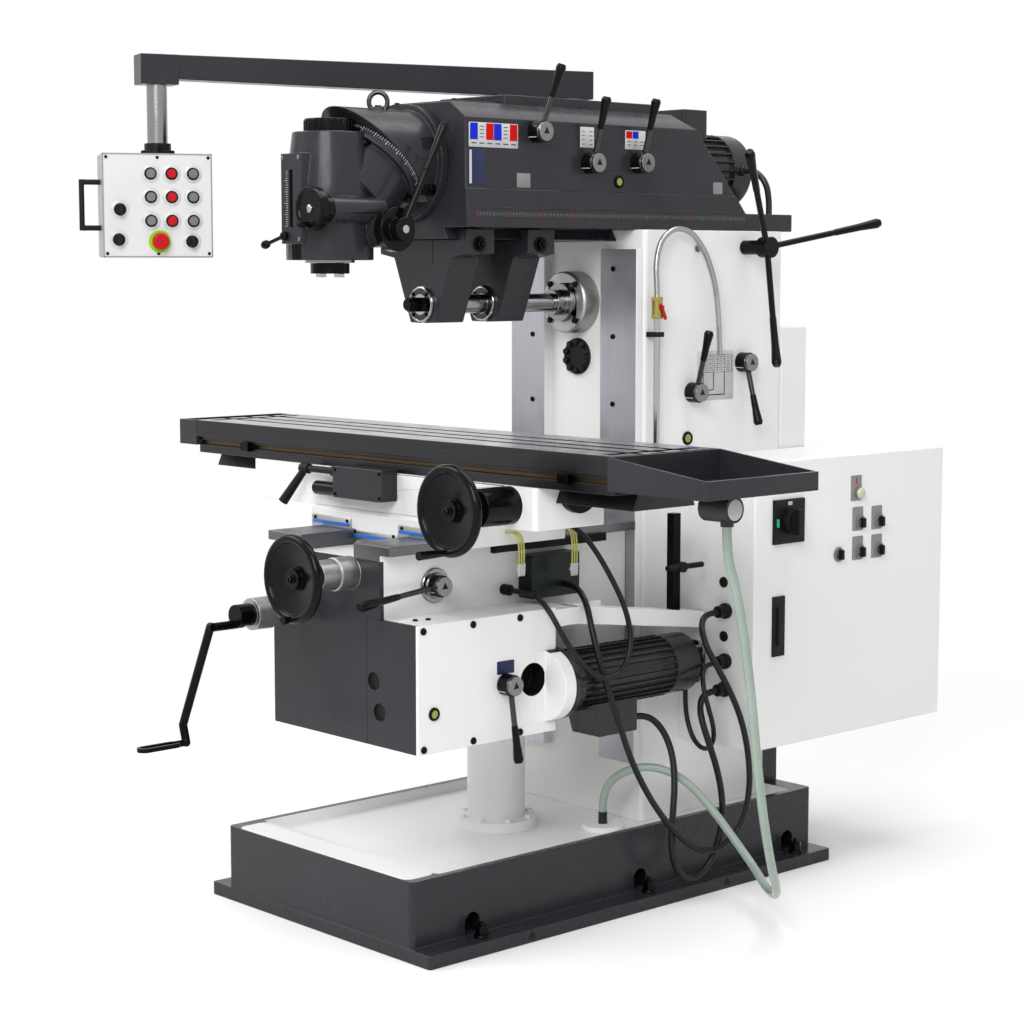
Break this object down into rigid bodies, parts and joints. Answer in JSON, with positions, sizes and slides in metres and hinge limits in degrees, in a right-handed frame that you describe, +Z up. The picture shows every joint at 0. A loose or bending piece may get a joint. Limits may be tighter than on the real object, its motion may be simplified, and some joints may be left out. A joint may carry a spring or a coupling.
{
  "type": "universal milling machine",
  "caption": "Universal knee-type milling machine with ram and swivelling vertical head, horizontal arbor, long T-slot table, hanging control pendant and side cabinet.",
  "frame": {"origin": "middle of the base's underside, on the floor", "axes": "+X along the table to the operator's right, +Y from the operator to the column, +Z up"},
  "size_m": [1.851, 2.0743, 1.9913],
  "materials": {
    "grey_paint": "satin charcoal paint",
    "white_paint": "gloss white paint",
    "ground_steel": "ground steel",
    "polished_steel": "polished",
    "black_gloss": "gloss black",
    "dark_metal": "satin black paint",
    "black_plastic": "matt",
    "red_plastic": "gloss red",
    "cable_sheath": "satin black sheath",
    "hose_plastic": "milky plastic hose"
  },
  "bodies": {
    "frame": {"base_casting": "grey_paint", "column_casting": "white_paint", "cabinet_box": "white_paint", "lift_tube": "white_paint", "coolant_pipe": "polished_steel", "drain_hose": "hose_plastic", "switch_cable": "cable_sheath", "motor_cable": "cable_sheath"},
    "knee": {"knee_casting": "white_paint", "feed_gearbox": "white_paint", "knee_front_cover": "grey_paint", "feed_motor": "dark_metal", "elevating_screw": "ground_steel", "table_cable": "cable_sheath"},
    "table_slide": {"table": "ground_steel", "table_trays": "grey_paint"},
    "ram": {"ram_body": "grey_paint", "ram_motor": "dark_metal"},
    "spindle": {"arbor": "polished_steel"},
    "door": {"cabinet_door": "white_paint"},
    "tool_spindle": {"vertical_spindle": "polished_steel"},
    "head": {"milling_head": "grey_paint"},
    "knuckle": {"head_knuckle": "grey_paint"},
    "quill_sleeve": {"quill": "ground_steel"},
    "support_front": {"front_arbor_support": "grey_paint"},
    "support_rear": {"rear_arbor_support": "grey_paint"},
    "arm": {"pendant_arm": "grey_paint"},
    "pendant": {"pendant_box": "white_paint"},
    "saddle_slide": {"saddle": "white_paint"},
    "turntable": {"swivel_base": "white_paint"},
    "valve_lever_body": {"valve_lever": "red_plastic"},
    "main_switch_body": {"main_switch": "black_plastic"},
    "capstan_body": {"capstan": "black_gloss"},
    "fine_feed_wheel_body": {"fine_feed_wheel": "black_gloss"},
    "quill_lever_body": {"quill_lever": "black_gloss"},
    "emergency_stop_body": {"emergency_stop": "red_plastic"},
    "saddle_handwheel_body": {"saddle_handwheel": "black_gloss"},
    "knee_crank_body": {"knee_crank": "black_gloss"},
    "knee_clamp_body": {"knee_clamp": "dark_metal"},
    "table_handwheel_body": {"table_handwheel": "black_gloss"},
    "lock_lever_body": {"lock_lever": "black_gloss"},
    "gear_lever_body": {"gear_lever": "black_gloss"},
    "feed_lever_body": {"feed_lever": "black_gloss"},
    "button_upper_left_body": {"button_upper_left": "black_plastic"},
    "button_upper_middle_body": {"button_upper_middle": "red_plastic"},
    "button_upper_right_body": {"button_upper_right": "black_plastic"},
    "button_centre_left_body": {"button_centre_left": "black_plastic"},
    "button_centre_middle_body": {"button_centre_middle": "red_plastic"},
    "button_centre_right_body": {"button_centre_right": "black_plastic"},
    "button_lower_left_body": {"button_lower_left": "black_plastic"},
    "button_lower_middle_body": {"button_lower_middle": "red_plastic"},
    "button_lower_right_body": {"button_lower_right": "black_plastic"},
    "selector_upper_body": {"selector_upper": "black_plastic"},
    "selector_lower_left_body": {"selector_lower_left": "black_plastic"},
    "selector_lower_right_body": {"selector_lower_right": "black_plastic"},
    "ram_lever_front_body": {"ram_lever_front": "black_gloss"},
    "ram_lever_middle_body": {"ram_lever_middle": "black_gloss"},
    "ram_lever_rear_body": {"ram_lever_rear": "black_gloss"},
    "column_lever_front_body": {"column_lever_front": "black_gloss"},
    "column_lever_rear_body": {"column_lever_rear": "black_gloss"}
  },
  "joints": [
    {"name": "knee_lift", "type": "slide", "parent": "frame", "child": "knee", "axis": [0, 0, 1], "range_m": [-0.12, 0.22], "deforming": ["switch_cable", "motor_cable", "drain_hose"]},
    {"name": "saddle_cross", "type": "slide", "parent": "knee", "child": "saddle_slide", "axis": [0, 1, 0], "range_m": [-0.15, 0.1], "deforming": ["table_cable", "drain_hose"]},
    {"name": "table_swivel", "type": "hinge", "parent": "saddle_slide", "child": "turntable", "pos_m": [0, -0.304, 0.95], "axis": [0, 0, 1], "range_deg": [-25, 25], "deforming": ["drain_hose"]},
    {"name": "table_traverse", "type": "slide", "parent": "turntable", "child": "table_slide", "axis": [1, 0, 0], "range_m": [-0.23, 0.23], "deforming": ["drain_hose"]},
    {"name": "ram_slide", "type": "slide", "parent": "frame", "child": "ram", "axis": [0, 1, 0], "range_m": [-0.25, 0.05]},
    {"name": "capstan_turn", "type": "hinge", "parent": "frame", "child": "capstan_body", "pos_m": [0.228, 0.521, 1.565], "axis": [1, 0, 0], "continuous": true},
    {"name": "front_support_slide", "type": "slide", "parent": "ram", "child": "support_front", "axis": [0, 1, 0], "range_m": [-0.03, 0.08]},
    {"name": "rear_support_slide", "type": "slide", "parent": "ram", "child": "support_rear", "axis": [0, 1, 0], "range_m": [-0.06, 0.06]},
    {"name": "spindle_turn", "type": "hinge", "parent": "frame", "child": "spindle", "pos_m": [0, 0, 1.43], "axis": [0, 1, 0], "continuous": true},
    {"name": "head_roll", "type": "hinge", "parent": "ram", "child": "knuckle", "pos_m": [0, -0.377, 1.754], "axis": [0, 1, 0], "range_deg": [-60, 60]},
    {"name": "head_tilt", "type": "hinge", "parent": "knuckle", "child": "head", "pos_m": [0, -0.486, 1.754], "axis": [0, 0.7071, 0.7071], "range_deg": [-90, 10]},
    {"name": "quill_feed", "type": "slide", "parent": "head", "child": "quill_sleeve", "axis": [0, 0, -1], "range_m": [0, 0.08]},
    {"name": "quill_lever_turn", "type": "hinge", "parent": "head", "child": "quill_lever_body", "pos_m": [0.13, -0.545, 1.6], "axis": [1, 0, 0], "range_deg": [0, 205]},
    {"name": "tool_spindle_turn", "type": "hinge", "parent": "quill_sleeve", "child": "tool_spindle", "pos_m": [0, -0.615, 1.6], "axis": [0, 0, 1], "continuous": true},
    {"name": "fine_feed_turn", "type": "hinge", "parent": "head", "child": "fine_feed_wheel_body", "pos_m": [0.093, -0.7, 1.643], "axis": [0, 1, 0], "continuous": true},
    {"name": "arm_swing", "type": "hinge", "parent": "ram", "child": "arm", "pos_m": [0, 0.129, 1.93], "axis": [0, 0, 1], "range_deg": [-75, 8]},
    {"name": "pendant_turn", "type": "hinge", "parent": "arm", "child": "pendant", "pos_m": [-0.311, -0.862, 1.77], "axis": [0, 0, 1], "range_deg": [-60, 60]},
    {"name": "button_upper_left_press", "type": "slide", "parent": "pendant", "child": "button_upper_left_body", "axis": [-0.8957, 0.4446, 0], "range_m": [0, 0.004], "stiffness_N_per_m": 300},
    {"name": "button_upper_middle_press", "type": "slide", "parent": "pendant", "child": "button_upper_middle_body", "axis": [-0.8957, 0.4446, 0], "range_m": [0, 0.004], "stiffness_N_per_m": 300},
    {"name": "button_upper_right_press", "type": "slide", "parent": "pendant", "child": "button_upper_right_body", "axis": [-0.8957, 0.4446, 0], "range_m": [0, 0.004], "stiffness_N_per_m": 300},
    {"name": "button_centre_left_press", "type": "slide", "parent": "pendant", "child": "button_centre_left_body", "axis": [-0.8957, 0.4446, 0], "range_m": [0, 0.004], "stiffness_N_per_m": 300},
    {"name": "button_centre_middle_press", "type": "slide", "parent": "pendant", "child": "button_centre_middle_body", "axis": [-0.8957, 0.4446, 0], "range_m": [0, 0.004], "stiffness_N_per_m": 300},
    {"name": "button_centre_right_press", "type": "slide", "parent": "pendant", "child": "button_centre_right_body", "axis": [-0.8957, 0.4446, 0], "range_m": [0, 0.004], "stiffness_N_per_m": 300},
    {"name": "button_lower_left_press", "type": "slide", "parent": "pendant", "child": "button_lower_left_body", "axis": [-0.8957, 0.4446, 0], "range_m": [0, 0.004], "stiffness_N_per_m": 300},
    {"name": "button_lower_middle_press", "type": "slide", "parent": "pendant", "child": "button_lower_middle_body", "axis": [-0.8957, 0.4446, 0], "range_m": [0, 0.004], "stiffness_N_per_m": 300},
    {"name": "button_lower_right_press", "type": "slide", "parent": "pendant", "child": "button_lower_right_body", "axis": [-0.8957, 0.4446, 0], "range_m": [0, 0.004], "stiffness_N_per_m": 300},
    {"name": "emergency_stop_press", "type": "slide", "parent": "pendant", "child": "emergency_stop_body", "axis": [-0.8957, 0.4446, 0], "range_m": [0, 0.006], "stiffness_N_per_m": 500},
    {"name": "selector_upper_turn", "type": "hinge", "parent": "pendant", "child": "selector_upper_body", "pos_m": [-0.30734, -0.96709, 1.645], "axis": [0.8957, -0.4446, 0], "range_deg": [-45, 45]},
    {"name": "selector_lower_left_turn", "type": "hinge", "parent": "pendant", "child": "selector_lower_left_body", "pos_m": [-0.3089, -0.97022, 1.578], "axis": [0.8957, -0.4446, 0], "range_deg": [-45, 45]},
    {"name": "selector_lower_right_turn", "type": "hinge", "parent": "pendant", "child": "selector_lower_right_body", "pos_m": [-0.2362, -0.82377, 1.574], "axis": [0.8957, -0.4446, 0], "range_deg": [-45, 45]},
    {"name": "saddle_wheel_turn", "type": "hinge", "parent": "knee", "child": "saddle_handwheel_body", "pos_m": [0.085, -0.73, 0.835], "axis": [0, 1, 0], "continuous": true},
    {"name": "knee_crank_turn", "type": "hinge", "parent": "knee", "child": "knee_crank_body", "pos_m": [-0.13, -0.7, 0.728], "axis": [0, 1, 0], "continuous": true},
    {"name": "table_wheel_turn", "type": "hinge", "parent": "turntable", "child": "table_handwheel_body", "pos_m": [0.43, -0.56, 1.002], "axis": [0, 1, 0], "continuous": true},
    {"name": "lock_lever_turn", "type": "hinge", "parent": "turntable", "child": "lock_lever_body", "pos_m": [-0.137, -0.488, 1.038], "axis": [1, 0, 0], "range_deg": [-35, 15]},
    {"name": "feed_lever_turn", "type": "hinge", "parent": "knee", "child": "feed_lever_body", "pos_m": [0.19, -0.474, 0.802], "axis": [1, 0, 0], "range_deg": [-20, 12]},
    {"name": "gear_lever_turn", "type": "hinge", "parent": "knee", "child": "gear_lever_body", "pos_m": [0.319, -0.375, 0.58], "axis": [1, 0, 0], "range_deg": [-20, 20]},
    {"name": "knee_clamp_turn", "type": "hinge", "parent": "knee", "child": "knee_clamp_body", "pos_m": [0.3, 0.196, 0.796], "axis": [1, 0, 0], "range_deg": [-30, 30]},
    {"name": "ram_lever_front_turn", "type": "hinge", "parent": "ram", "child": "ram_lever_front_body", "pos_m": [0.19, -0.162, 1.826], "axis": [1, 0, 0], "range_deg": [-22, 22]},
    {"name": "ram_lever_middle_turn", "type": "hinge", "parent": "ram", "child": "ram_lever_middle_body", "pos_m": [0.19, 0.009, 1.76], "axis": [1, 0, 0], "range_deg": [-22, 22]},
    {"name": "ram_lever_rear_turn", "type": "hinge", "parent": "ram", "child": "ram_lever_rear_body", "pos_m": [0.19, 0.174, 1.765], "axis": [1, 0, 0], "range_deg": [-22, 22]},
    {"name": "column_lever_front_turn", "type": "hinge", "parent": "frame", "child": "column_lever_front_body", "pos_m": [0.228, 0.33, 1.209], "axis": [1, 0, 0], "range_deg": [-22, 22]},
    {"name": "column_lever_rear_turn", "type": "hinge", "parent": "frame", "child": "column_lever_rear_body", "pos_m": [0.228, 0.514, 1.278], "axis": [1, 0, 0], "range_deg": [-22, 22]},
    {"name": "valve_turn", "type": "hinge", "parent": "frame", "child": "valve_lever_body", "pos_m": [0.265, 0.182, 1.4205], "axis": [1, 0, 0], "range_deg": [0, 90]},
    {"name": "door_swing", "type": "hinge", "parent": "frame", "child": "door", "pos_m": [0.45, 1.04, 0.7], "axis": [0, 0, 1], "range_deg": [0, 110]},
    {"name": "main_switch_turn", "type": "hinge", "parent": "door", "child": "main_switch_body", "pos_m": [0.48, 0.415, 0.903], "axis": [1, 0, 0], "range_deg": [0, 90]}
  ],
  "couplings": [
    {"joint": "capstan_turn", "follows": "ram_slide", "rad_per_m": -40},
    {"joint": "quill_lever_turn", "follows": "quill_feed", "rad_per_m": 43.6}
  ]
}
